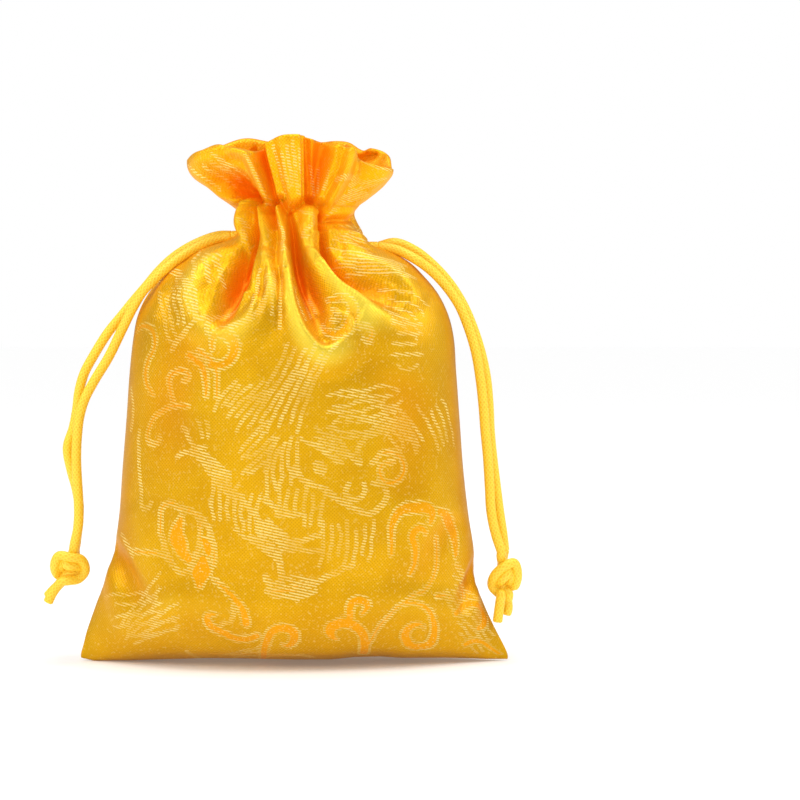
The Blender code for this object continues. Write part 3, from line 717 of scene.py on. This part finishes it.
def panel_points(front):
    """One panel's points, their places on the flat cloth, and the numbers stored on them.

    A row is an ellipse or lens: x = middle + reach cos(a), y = -depth |sin(a)|^power, walked at even
    steps of length from the left seam to the right one. Rows follow the table smoothly. The folds, found
    where the camera sees each point, then push it outward along the ellipse's normal, leant up by the lean.
    """
    table = np.array([row + PLAIN_ROW[len(row) :] for row in PANEL_ROWS])
    keys = np.concatenate([[0], np.cumsum(np.hypot(np.diff(table[:, 0]), np.diff(table[:, 3])))])
    fine = np.linspace(0, keys[-1], OUTLINE_POINTS)
    height = smooth(fine, keys, table[:, 0])
    step = np.where((height > NECK_HEIGHT) | (fine > keys[RIM_ROW]), NECK_ROW_STEP, BODY_ROW_STEP)
    count = np.concatenate([[0], np.cumsum(np.diff(fine) / step[1:])])
    q = np.interp(np.linspace(0, count[-1], round(count[-1]) + 1), count, fine)
    up, left, right, depth, power, lean, share = (smooth(q, keys, table[:, k])[:, None] for k in range(7))
    depth = np.maximum(depth, 0)
    middle, reach = (left + right) / 2, (right - left) / 2

    turn = np.linspace(0, math.pi, ELLIPSE_POINTS)[None, :]
    x = -reach * np.cos(turn)
    y = -depth * np.sin(turn) ** power
    chords = np.hypot(np.diff(x), np.diff(y))
    length = np.concatenate([np.zeros((len(q), 1)), np.cumsum(chords, axis=1)], axis=1)
    even = np.linspace(0, 1, COLUMNS + 1)
    turn = np.stack([np.interp(even, row / row[-1], turn[0]) for row in length])
    share_across = -np.cos(turn)
    x = middle + reach * share_across
    sine = np.sin(turn)
    y = -depth * sine**power

    rim = np.array(FRONT_RIM if front else BACK_RIM)
    view_x, view_z = CAMERA_MIDDLE
    away = y if front else -y
    rim_height = view_z + (smooth(share_across, rim[:, 0], rim[:, 1]) - view_z) * (1 + away / CAMERA_DISTANCE)
    raised = np.clip((up - WAIST_HEIGHT) / (RIM_HEIGHT - WAIST_HEIGHT), 0, None)
    z = np.where(up > WAIST_HEIGHT, WAIST_HEIGHT + raised * (rim_height - WAIST_HEIGHT), up)
    seam = np.array(SEAM_LIFT)
    lift = np.interp(x, seam[:, 0], seam[:, 1]) * (1 - ease(z, 0, LIFT_HEIGHT))
    z = z + lift * (q[:, None] < keys[RIM_ROW])

    scale = CAMERA_DISTANCE / (CAMERA_DISTANCE + y)
    seen_x, seen_z = view_x + (x - view_x) * scale, view_z + (z - view_z) * scale
    folds = [np.array([(*place[:3], *place[-2:]) for place in fold]) for fold in FRONT_FOLDS]
    if not front:
        flip, shift = np.array([-1, 1, 1, 1, 1]), np.array([2 * BACK_FOLD_MIRROR, 0, 0, 0, 0])
        folds = [(fold * flip + shift)[:, [0, 1, 3, 2, 4]] for fold in folds]
    heights = fold_heights(folds, seen_x, seen_z) * share
    seam_window = FRONT_SEAM_WINDOW if front else BACK_SEAM_WINDOW
    heights = heights * ease(1 - np.abs(2 * even[None, :] - 1), 0, seam_window * 2)
    from_seam = np.minimum(even, 1 - even)[None, :] * length[:, -1:]
    pull = (SEAM_DEPTH + SEAM_PULL * np.sin(q * (2 * math.pi / SEAM_PITCH)))[:, None]
    heights = heights - pull * np.exp(-((from_seam / SEAM_REACH) ** 2)) * ease(z, *SEAM_HEIGHTS)
    out = unit(np.stack([share_across / reach, -sine / np.maximum(depth, 1), 0 * x], axis=-1))
    out = unit(out + np.stack([0 * x, 0 * x, lean + 0 * x], axis=-1))
    points = np.stack([x, y, z], axis=-1) + out * heights[..., None]

    steps = np.linalg.norm(np.diff(points, axis=1), axis=2)
    across = np.concatenate([np.zeros((len(q), 1)), np.cumsum(steps, axis=1)], axis=1)
    across -= across[:, COLUMNS // 2][:, None]
    flat = np.stack([across, q[:, None] + 0 * across], axis=-1)

    outside = q < keys[RIM_ROW]
    figure = np.full(x.shape, NO_FIGURE)
    moved = FRONT_REPEATS if front else BACK_REPEATS
    figure[outside] = figure_field(seen_x[outside], seen_z[outside], flat[outside], moved)
    # Painted shade: the ground darkens in the hollows of the folds, and partly inside the ruffle.
    inside = np.where(outside, 0.0, INSIDE_HOLLOW)[:, None]
    hollow_shade = np.clip(-heights / HOLLOW_DEPTH + inside, 0, 1)
    # A painted highlight on the crests, none inside the ruffle.
    crest_highlight = ease(heights, *CREST_HEIGHTS) * (1 - inside)
    # A painted glow of the thin cloth about the neck and in the ruffle.
    glow = ease(z, *GLOW_HEIGHTS)
    pucker = ease(z, *PUCKER_HEIGHTS)
    numbers = {"figure": figure, "hollow_shade": hollow_shade, "crest_highlight": crest_highlight, "glow": glow, "pucker": pucker}
    return points, flat, numbers


def make_panel(name, front, material):
    """A cloth panel as a mesh; the back one is turned half round the upright axis."""
    points, flat, numbers = panel_points(front)
    if not front:
        points = points * np.array([1, -1, 1])
        points, flat = points[:, ::-1], flat[:, ::-1]
        numbers = {key: array[:, ::-1] for key, array in numbers.items()}
    return add_surface(name, points, flat, material, numbers=numbers)


# ---- The drawcords ----

LEFT_BACK_STRAND = (
    (-14.5, 1.4, 99.7), (-17.8, 1.4, 99.6), (-22.5, 1.4, 98), (-27.6, 1.8, 95.1), (-31.5, 2.4, 91.7),
    (-34.8, 3, 87.9), (-37.7, 2.2, 84.4), (-40.2, 1.5, 81.2), (-43.6, 1.3, 77), (-46.9, 1.4, 71.8),
    (-49.3, 1.4, 67.3), (-50.5, 1.4, 63), (-51, 1.4, 59), (-51.8, 1.4, 54.8), (-53.2, 1.2, 50),
    (-52.4, 1.2, 44.9), (-51.2, 1.3, 40.4), (-50.6, 1.3, 36.4), (-50.8, 1.3, 31.9), (-51.4, 1.3, 27),
)
LEFT_FRONT_STRAND = (
    (-14.5, -1.4, 99.5), (-17.6, -1.5, 98.9), (-22.2, -3, 96.8), (-27, -5.2, 93.6), (-31, -6.8, 90.1),
    (-34.4, -6.8, 86.6), (-37, -5, 82.8), (-39.8, -2.6, 77.8), (-43.2, -1.3, 71.2), (-46.6, -1.3, 65.6),
    (-48.8, -1.3, 61.4), (-50, -1.3, 57.4), (-50.6, -1.3, 52.6), (-50.8, -1.3, 47.4), (-50.6, -1.3, 42.4),
    (-50.3, -1.3, 37), (-50.4, -1.3, 31.9), (-51.4, -1.3, 27),
)
RIGHT_FRONT_STRAND = (
    (19.7, -1.4, 97), (23.6, -1.9, 96.3), (28, -3.8, 94.2), (32, -3, 91.4), (35.6, -1.8, 87.7),
    (38.6, -1.8, 83.3), (40.7, -1.8, 78.3), (42.4, -1.8, 72.7), (43.5, -1.8, 66.4), (44.2, -1.8, 60.2),
    (44.7, -1.8, 53.9), (45.3, -1.8, 47.7), (45.7, -1.8, 41.3), (46.1, -1.7, 35.1), (47.2, -1.4, 29.8),
    (48.6, -1.3, 25.6),
)
RIGHT_BACK_STRAND = (
    (19.7, 1.4, 97.1), (23.6, 1.2, 98), (28.2, 1.1, 96.2), (32.4, 1, 92.9), (36.4, 0.9, 88.5),
    (39.6, 0.9, 83.4), (42, 0.9, 77.8), (43.8, 0.9, 72.1), (45, 0.9, 66.4), (45.6, 0.9, 60.2),
    (45.9, 0.9, 53.9), (46.5, 0.9, 47.7), (47.3, 0.9, 41.3), (48.1, 1, 35.1), (48.9, 1.2, 29.8),
    (49.4, 1.3, 25.6),
)
# The front half of each run inside the casing, across and front to back, and the height of each run.
LEFT_RUN = (
    (-14.6, -1.4), (-11.2, -1.5), (-8.4, -2), (-5.6, -3.7), (-1, -5.4), (3.2, -5.6), (7.2, -4.4),
    (9.8, -2.4), (10.6, 0),
)
RIGHT_RUN = (
    (19.8, -1.4), (15.2, -1.5), (10.9, -2), (8, -3.7), (3.4, -5.4), (-0.8, -5.6), (-4.8, -4.4),
    (-7.4, -2.4), (-8.2, 0),
)
LEFT_RUN_HEIGHT = 99.6
RIGHT_RUN_HEIGHT = 97.0
# The overhand knots. Each row is a place on the middle of the pair of strands, from the knot's middle, and
# the step from there to the front strand; the back strand is as far the other way.
LEFT_KNOT_MIDDLE = (-52.4, 0.0, 22.2)
LEFT_KNOT = (
    (1.1, 0, 5.4, 0, -1.25, 0), (0.8, 0.3, 3.8, 0, -1.1, 0), (0.4, 1, 1.6, -0.4, -0.8, 0),
    (-0.6, 1.4, -0.8, -0.7, -0.2, -0.3), (-2.2, 0.9, -1.5, -0.6, 0.1, -0.7),
    (-2.9, -0.6, 0, -0.7, -0.4, 0.1), (-1.8, -1.7, 1.9, -0.6, -0.4, 0.7), (0, -2.2, 1.3, 0.3, -0.2, 1),
    (2, -1.2, 0.9, 0.6, -0.2, 0.8), (2.5, 0.3, -0.8, 0.8, -0.1, -0.3), (1.4, 0.3, -2.2, 0.4, -0.4, -0.7),
    (-0.4, -0.8, -2.4, 0.1, -0.6, -0.8), (-1.7, -0.8, -3, -0.2, -0.9, -0.4),
)
LEFT_TAILS = (
    ((-54.9, -1.35, 18.2), (-56.4, -1.4, 16.2), (-57.6, -1.5, 13.8)),
    ((-54.9, 1.35, 18.2), (-56.6, 1.4, 16.6), (-58.2, 1.5, 14.8)),
)
RIGHT_KNOT_MIDDLE = (49.3, 0.0, 19.6)
RIGHT_KNOT = (
    (-0.3, 0, 6.5, -0.4, -1.3, 0), (-0.5, 0.3, 5, -0.3, -1.2, 0), (-0.4, 1, 2.8, 0.1, -0.8, 0.1),
    (0.2, 1.4, 0, 0.6, -0.3, 0.2), (1.6, 1, -1.6, 0.6, 0.1, -0.6), (2.3, -0.2, 0.2, 0.7, -0.2, 0.2),
    (1.5, -1.2, 2.8, 0.6, -0.2, 0.7), (0.1, -1.9, 1.8, -0.3, -0.3, 0.9), (-1.6, -1.3, 0, -0.8, -0.3, 0.5),
    (-2, 0.2, -1.8, -0.8, -0.1, -0.3), (-0.8, 0.2, -3.2, -0.6, -0.6, -0.4), (0, -0.7, -3.8, -0.9, -0.9, 0),
    (0, -0.3, -4.8, -0.95, -1.2, 0),
)
RIGHT_TAILS = (
    ((48.2, -1.35, 13.8), (47.9, -1.4, 11.6), (47.6, -1.5, 9.2)),
    ((50.1, 1.35, 14), (50.2, 1.4, 12.2), (49.8, 1.5, 10.6)),
)
CORD_DIAMETER = 2.3
CORD_SIDES = 24
CORD_STEP = 0.3
# A cut end is rounded over this length, and this share of its section is lost at the very end.
END_ROUNDING = 0.35
END_LOSS = 0.4


def tube(line, radius, reference):
    """A round tube along a line: each ring stands square to the line, turned to the reference direction.

    A ring's point is the line's point + r (cos(a) N + sin(a) B), where N is the reference made square to
    the line's direction T, and B is T x N.
    """
    ahead = unit(np.gradient(line, axis=0))
    normal = unit(reference - np.sum(reference * ahead, axis=1, keepdims=True) * ahead)
    side = np.cross(ahead, normal)
    angle = np.linspace(0, 2 * math.pi, CORD_SIDES, endpoint=False)
    ring = np.cos(angle)[None, :, None] * normal[:, None] + np.sin(angle)[None, :, None] * side[:, None]
    return line[:, None] + np.reshape(radius, (-1, 1, 1)) * ring


def tube_places(along, sides):
    """Places on a tube's surface: round it as a share of UV_SPAN, and along it in millimetres."""
    around = np.linspace(0, UV_SPAN, sides + 1)
    return np.stack(np.broadcast_arrays(around[None, :], along[:, None]), axis=-1)


def end_taper(along, radius):
    """The radius along a cord whose cut ends are slightly rounded, as the top of an ellipse."""
    from_end = np.clip(np.minimum(along, along[-1] - along) / END_ROUNDING, 0, 1)
    return radius * np.sqrt(1 - (1 - from_end) ** 2 * END_LOSS)


def make_cord(name, route, nodes, material):
    """A piece of drawcord along a route, standing for its nodes, with its line and length."""
    line, along = follow(route, CORD_STEP)
    across = np.broadcast_to(np.array([0.0, 1.0, 0.0]), line.shape)
    rings = tube(line, end_taper(along, CORD_DIAMETER / 2), across)
    places = tube_places(along, CORD_SIDES)
    piece = add_surface(name, rings, places, material, wrap=True, caps=True)
    for node in nodes:
        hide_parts(node)
    return piece, line, along[-1]


def casing_run(half, height, strands):
    """A route once round the drawn neck: the front half, and the same turned over front to back. All of it
    is at one height but its two ends, which are at the heights of the strands they run into."""
    half = np.array(half)
    plan = np.concatenate([half, half[-2::-1] * (1, -1)])
    route = np.column_stack([plan, np.full(len(plan), height)])
    route[[0, -1], 2] = [strand[0][2] for strand in strands]
    return route


def knot_route(middle, path, tail, front):
    """One strand's way through a knot: the path of the pair, to one side of it, and then its own tail."""
    path = np.array(path)
    side = 1 if front else -1
    return np.concatenate([np.array(middle) + path[:, :3] + side * path[:, 3:], np.array(tail)])


# ---- Materials ----


# The plain weave's pitch and the gaps between its threads, and the floats' rows: pitch, slant and edges.
WEAVE_PITCH = 0.8
WEAVE_GAPS = (0.0, -0.6)
DASH_PITCH = 0.66
DASH_SLANT = 0.22
DASH_EDGES = (-0.1, 0.5)
# How far a band's outline and its rows wander, where the outline's floats fade out on either side of the
# band's edge, and where its filling begins and is whole.
WANDER = 0.3
OUTLINE_EDGE = (0.44, 0.24)
FILLING_EDGE = (0.2, 0.4)
# Scales of the noises, and the detail of all but the threads'.
THREAD_SCALE = 1800.0
PUCKER_SCALE = 330.0
SHEEN_SCALE = 150.0
PATCH_SCALE = 70.0
DETAIL = 3.0
# Where a noise begins to tell, and where it tells fully.
STRAY_THREADS = (0.56, 0.62)
STRAY_PATCHES = (0.52, 0.66)
WHOLE_THREADS = (0.28, 0.44)
PALE_THREADS = (0.56, 0.72)
SHEEN_PATCHES = (0.38, 0.62)
SHADE_PATCHES = (0.35, 0.65)
# Strength of the stray floats in the fillings and in the patches, and of all floats out of and in the sheen.
STRAY_IN_FILLING = 0.7
STRAY_IN_PATCHES = 0.22
LEAST_FLOATS = 0.36
SHEEN_FLOATS = 0.5
# How much of the colour under it each layer covers, and what the painted glow through the cloth and the
# painted shade of the hollows take off the painted crest highlights and the floats.
PATCH_COVER = 0.5
GAP_COVER = 0.7
PALE_COVER = 0.24
FILLING_COVER = 0.65
CREST_COVER = 0.72
CREST_LOSS = 0.66
HOLLOW_COVER = 0.9
FLOAT_LOSS = 0.6
# Heights of the bump.
THREAD_HEIGHT = 0.06
WEAVE_HEIGHT = 0.02
PUCKER_HEIGHT = 0.5
# The satin's roughness and metal look, and what the floats add and take off.
SATIN_ROUGHNESS = 0.36
FLOAT_ROUGHNESS = 0.14
SATIN_METAL = 0.38
FLOAT_METAL_LOSS = 0.3
# The braid: strands, their turns to the millimetre, groove edges and height, and the cord's faint light.
BRAID_STRANDS = 8
BRAID_TURNS = 0.85
GROOVE_EDGES = (-0.1, 0.7)
BRAID_HEIGHT = 0.04
CORD_GLOW = 0.06
CORD_ROUGHNESS = 0.42
CORD_METAL = 0.1
BLACK = (0.0, 0.0, 0.0)


def brocade_finish(settings):
    """Satin brocade: a fine plain weave, orange fillings, and cream floats that lie across the outlines."""
    # Shade in the hollows, a highlight on the crests, a lighter ground about the neck and a glow are painted
    # into the colour.
    finish = Finish("golden satin brocade")
    across, along = finish.place_on_piece()
    place = finish.node("ShaderNodeTexCoord", output=3)
    uneven = finish.noise(place, THREAD_SCALE)
    patches = finish.noise(place, PATCH_SCALE, DETAIL)
    weave = across.wave(WEAVE_PITCH) * along.wave(WEAVE_PITCH)
    figure = finish.attribute("figure")
    outline = (figure + uneven * WANDER - WANDER / 2).size().rise(*OUTLINE_EDGE)
    float_row = (along + across * DASH_SLANT + uneven * WANDER).wave(DASH_PITCH).rise(*DASH_EDGES)
    filling = figure.rise(*FILLING_EDGE)
    stray_share = filling * STRAY_IN_FILLING + patches.rise(*STRAY_PATCHES) * STRAY_IN_PATCHES
    stray = uneven.rise(*STRAY_THREADS) * stray_share
    sheen = finish.noise(place, SHEEN_SCALE, DETAIL).rise(*SHEEN_PATCHES) * SHEEN_FLOATS + LEAST_FLOATS
    cream = float_row * (outline * uneven.rise(*WHOLE_THREADS)).math("MAXIMUM", stray) * sheen
    hollow_shade = finish.attribute("hollow_shade")

    pucker_and_neck_light = finish.attribute("pucker")
    # Painted light: the ground is lighter towards the neck, where more light falls.
    ground = finish.mix(pucker_and_neck_light, settings.ground, settings.lit_neck_ground)
    ground = finish.mix(patches.rise(*SHADE_PATCHES) * PATCH_COVER, ground, settings.ground_shade)
    ground = finish.mix(weave.rise(*WEAVE_GAPS) * GAP_COVER, ground, settings.ground_shade)
    ground = finish.mix(uneven.rise(*PALE_THREADS) * PALE_COVER, ground, settings.thread)
    colour = finish.mix(filling * FILLING_COVER, ground, settings.filling)
    through = finish.attribute("glow")
    # Painted highlight on the crests, weaker where the painted glow is.
    crest_highlight = finish.attribute("crest_highlight") * (CREST_COVER - through * CREST_LOSS)
    colour = finish.mix(crest_highlight, colour, settings.crest_highlight)
    # Painted shade deep in the folds, which also dulls the floats there.
    colour = finish.mix(hollow_shade * HOLLOW_COVER, colour, settings.hollow_shade)
    colour = finish.mix(cream * (1.0 - hollow_shade * FLOAT_LOSS), colour, settings.thread)
    pucker = finish.noise(place, PUCKER_SCALE, DETAIL) * pucker_and_neck_light
    height = cream * THREAD_HEIGHT + filling * WEAVE_HEIGHT + weave * WEAVE_HEIGHT + pucker * PUCKER_HEIGHT
    # Painted glow: emission that stands in for light coming through the thin cloth.
    glow = finish.mix(through, BLACK, settings.glow)
    values = {
        "Base Color": colour,
        "Roughness": SATIN_ROUGHNESS + cream * FLOAT_ROUGHNESS,
        "Metallic": SATIN_METAL - cream * FLOAT_METAL_LOSS,
        "Specular Tint": (*settings.ground, 1.0),
        "Emission Color": glow,
        "Emission Strength": 1.0,
    }
    return finish.close(values, height, 1.0)


def braid_finish(settings):
    """Braided satin cord: two sets of strands wind round it in opposite turns, one over the other."""
    finish = Finish("braided golden cord")
    around, along = finish.place_on_piece()
    turn = around * (BRAID_STRANDS / UV_SPAN)
    one = (turn + along * BRAID_TURNS).wave(1.0)
    two = (turn - along * BRAID_TURNS).wave(1.0)
    height = one.math("MAXIMUM", two)
    # The braid's grooves get painted shade.
    colour = finish.mix(height.rise(*GROOVE_EDGES), settings.cord_groove_shade, settings.cord)
    # A faint painted glow that stands in for light through the satin cord.
    glow = finish.mix(CORD_GLOW, BLACK, settings.cord)
    values = {
        "Base Color": colour,
        "Roughness": CORD_ROUGHNESS,
        "Metallic": CORD_METAL,
        "Emission Color": glow,
        "Emission Strength": 1.0,
    }
    return finish.close(values, height, BRAID_HEIGHT)


# ---- Settings, operators and panel ----


def colour(name, default, description):
    return FloatVectorProperty(name=name, description=description, subtype="COLOR", default=default)


def level(name, default, description):
    return FloatProperty(name=name, description=description, subtype="FACTOR", default=default, min=0.0)


class PouchSettings(bpy.types.PropertyGroup):
    ground: colour("Ground", (0.78, 0.42, 0.009), "Colour of the satin ground")
    # Ground about the neck, painted lighter where more light falls.
    lit_neck_ground: colour("Gathered ground", (0.96, 0.50, 0.009), "Colour of the ground about the neck")
    ground_shade: colour("Ground shade", (0.60, 0.28, 0.003), "Colour between the ground's threads")
    filling: colour("Filling", (0.94, 0.37, 0.005), "Colour inside the woven bands")
    thread: colour("Thread", (0.97, 0.80, 0.28), "Colour of the cream floats")
    # Painted highlight of the satin where a ridge faces the light.
    crest_highlight: colour("Crest", (1.0, 0.84, 0.09), "Colour of the satin where a ridge shines")
    # Painted shade of the ground deep in the folds.
    hollow_shade: colour("Hollow", (0.82, 0.14, 0.002), "Colour of the ground deep in the folds")
    # Painted glow of the thin cloth of the neck and ruffle.
    glow: colour("Glow", (0.16, 0.045, 0.0), "Light that comes through the thin cloth of the ruffle")
    cord: colour("Cord", (1.0, 0.70, 0.045), "Colour of the drawcords")
    # Painted shade in the grooves of the braid.
    cord_groove_shade: colour("Cord shade", (1.0, 0.56, 0.02), "Colour in the grooves of the braid")
    light_level: level("Light", 1.0, "Level of the soft lights round the pouch")
    overhead_light: level("Overhead", 2.3, "Strength of the wide light overhead")
    sky_light: level("Sky light", 0.33, "Level of the white surroundings as a light")


class POUCH_OT_cloth(bpy.types.Operator):
    """Adds the front and back panels"""

    bl_idname = "pouch.cloth"
    bl_label = "Cloth"

    def execute(self, context):
        material = brocade_finish(context.scene.pouch)
        for name, front in (("front_panel", True), ("back_panel", False)):
            piece = make_panel(name, front, material)
            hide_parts("pouch")
        return {"FINISHED"}


class POUCH_OT_cords(bpy.types.Operator):
    """Adds the two drawcords: casing runs, free strands, knots and tails"""

    bl_idname = "pouch.cords"
    bl_label = "Drawcords"

    def execute(self, context):
        material = braid_finish(context.scene.pouch)
        left = (LEFT_FRONT_STRAND, LEFT_BACK_STRAND)
        right = (RIGHT_FRONT_STRAND, RIGHT_BACK_STRAND)
        left_run = casing_run(LEFT_RUN, LEFT_RUN_HEIGHT, left)
        right_run = casing_run(RIGHT_RUN, RIGHT_RUN_HEIGHT, right)
        sides = (
            ("left", left_run, left, LEFT_KNOT_MIDDLE, LEFT_KNOT, LEFT_TAILS),
            ("right", right_run, right, RIGHT_KNOT_MIDDLE, RIGHT_KNOT, RIGHT_TAILS),
        )
        for side, run, strands, middle, knot, tails in sides:
            hidden, _, _ = make_cord(f"{side}_casing_run", run, [f"{side}_cord_casing_run"], material)
            for place, route, tail in zip(("front", "back"), strands, tails):
                way = knot_route(middle, knot, tail, place == "front")
                nodes = [f"{side}_cord_knot", f"{side}_cord_{place}_tail"]
                tied, _, _ = make_cord(f"{side}_{place}_knot_and_tail", way, nodes, material)
                nodes = [f"{side}_cord_{place}_strand"]
                piece, line, length = make_cord(f"{side}_{place}_strand", route, nodes, material)
        return {"FINISHED"}


class POUCH_OT_stage(bpy.types.Operator):
    """Adds the floor, the lights and the camera"""

    bl_idname = "pouch.stage"
    bl_label = "Stage"

    def execute(self, context):
        scene = context.scene
        scene.view_settings.view_transform = "Standard"
        finish = Finish("white studio floor")
        values = {
            "Base Color": (0.9, 0.9, 0.9, 1.0), "Roughness": 0.6,
            "Emission Color": (1.0, 1.0, 1.0, 1.0), "Emission Strength": 0.12,
        }
        grain = finish.noise(finish.node("ShaderNodeTexCoord", output=3), FLOOR_GRAIN)
        white = finish.close(values, grain, 0.001)
        mesh = bpy.data.meshes.new("floor")
        r = FLOOR_REACH
        mesh.from_pydata([(-r, -r, 0), (r, -r, 0), (r, r, 0), (-r, r, 0)], [], [(0, 1, 2, 3)])
        mesh.materials.append(white)
        stand("floor", mesh)

        world = bpy.data.worlds.new("studio")
        scene.world = world
        world.use_nodes = True
        tree = world.node_tree
        sky = tree.nodes["Background"].inputs["Strength"]
        seen = tree.nodes.new("ShaderNodeLightPath").outputs["Is Camera Ray"]
        level = tree.nodes.new("ShaderNodeMapRange")
        level.inputs["To Min"].default_value = scene.pouch.sky_light
        level.inputs["To Max"].default_value = 1.0
        tree.links.new(seen, level.inputs["Value"])
        tree.links.new(level.outputs["Result"], sky)
        tree.nodes["Background"].inputs["Color"].default_value = (1, 1, 1, 1)

        light = bpy.data.lights.new("overhead", "SUN")
        light.angle = OVERHEAD_ANGLE
        light.energy = scene.pouch.overhead_light
        stand("overhead", light).rotation_euler = OVERHEAD_TILT
        for name, place, size, power in LIGHTS:
            light = bpy.data.lights.new(name, "AREA")
            light.size = size
            light.energy = power * scene.pouch.light_level
            lamp = stand(name, light)
            lamp.location = place
            lamp.rotation_euler = (Vector(LIGHT_AIM) - Vector(place)).to_track_quat("-Z", "Y").to_euler()

        camera = bpy.data.cameras.new("camera")
        camera.lens = CAMERA_LENS
        view = stand("camera", camera)
        angle = math.radians(CAMERA_ELEVATION)
        across, up = CAMERA_MIDDLE
        far = CAMERA_DISTANCE
        view.location = (across * MM, -far * math.cos(angle) * MM, (up + far * math.sin(angle)) * MM)
        view.rotation_euler = (math.pi / 2 - angle, 0.0, 0.0)
        scene.camera = view
        return {"FINISHED"}


class POUCH_PT_panel(bpy.types.Panel):
    bl_label = "Brocade Pouch"
    bl_idname = "POUCH_PT_panel"
    bl_space_type = "VIEW_3D"
    bl_region_type = "UI"
    bl_category = "Pouch"

    def draw(self, context):
        for name in PouchSettings.__annotations__:
            self.layout.prop(context.scene.pouch, name)
        for operator in OPERATORS:
            self.layout.operator(operator.bl_idname)


OPERATORS = (POUCH_OT_cloth, POUCH_OT_cords, POUCH_OT_stage)
CLASSES = (PouchSettings, *OPERATORS, POUCH_PT_panel)


def register():
    for cls in CLASSES:
        bpy.utils.register_class(cls)
    bpy.types.Scene.pouch = PointerProperty(type=PouchSettings)


def unregister():
    del bpy.types.Scene.pouch
    for cls in reversed(CLASSES):
        bpy.utils.unregister_class(cls)


def main():
    register()
    bpy.ops.pouch.stage()
    bpy.ops.pouch.cloth()
    bpy.ops.pouch.cords()


if __name__ == "__main__":
    main()
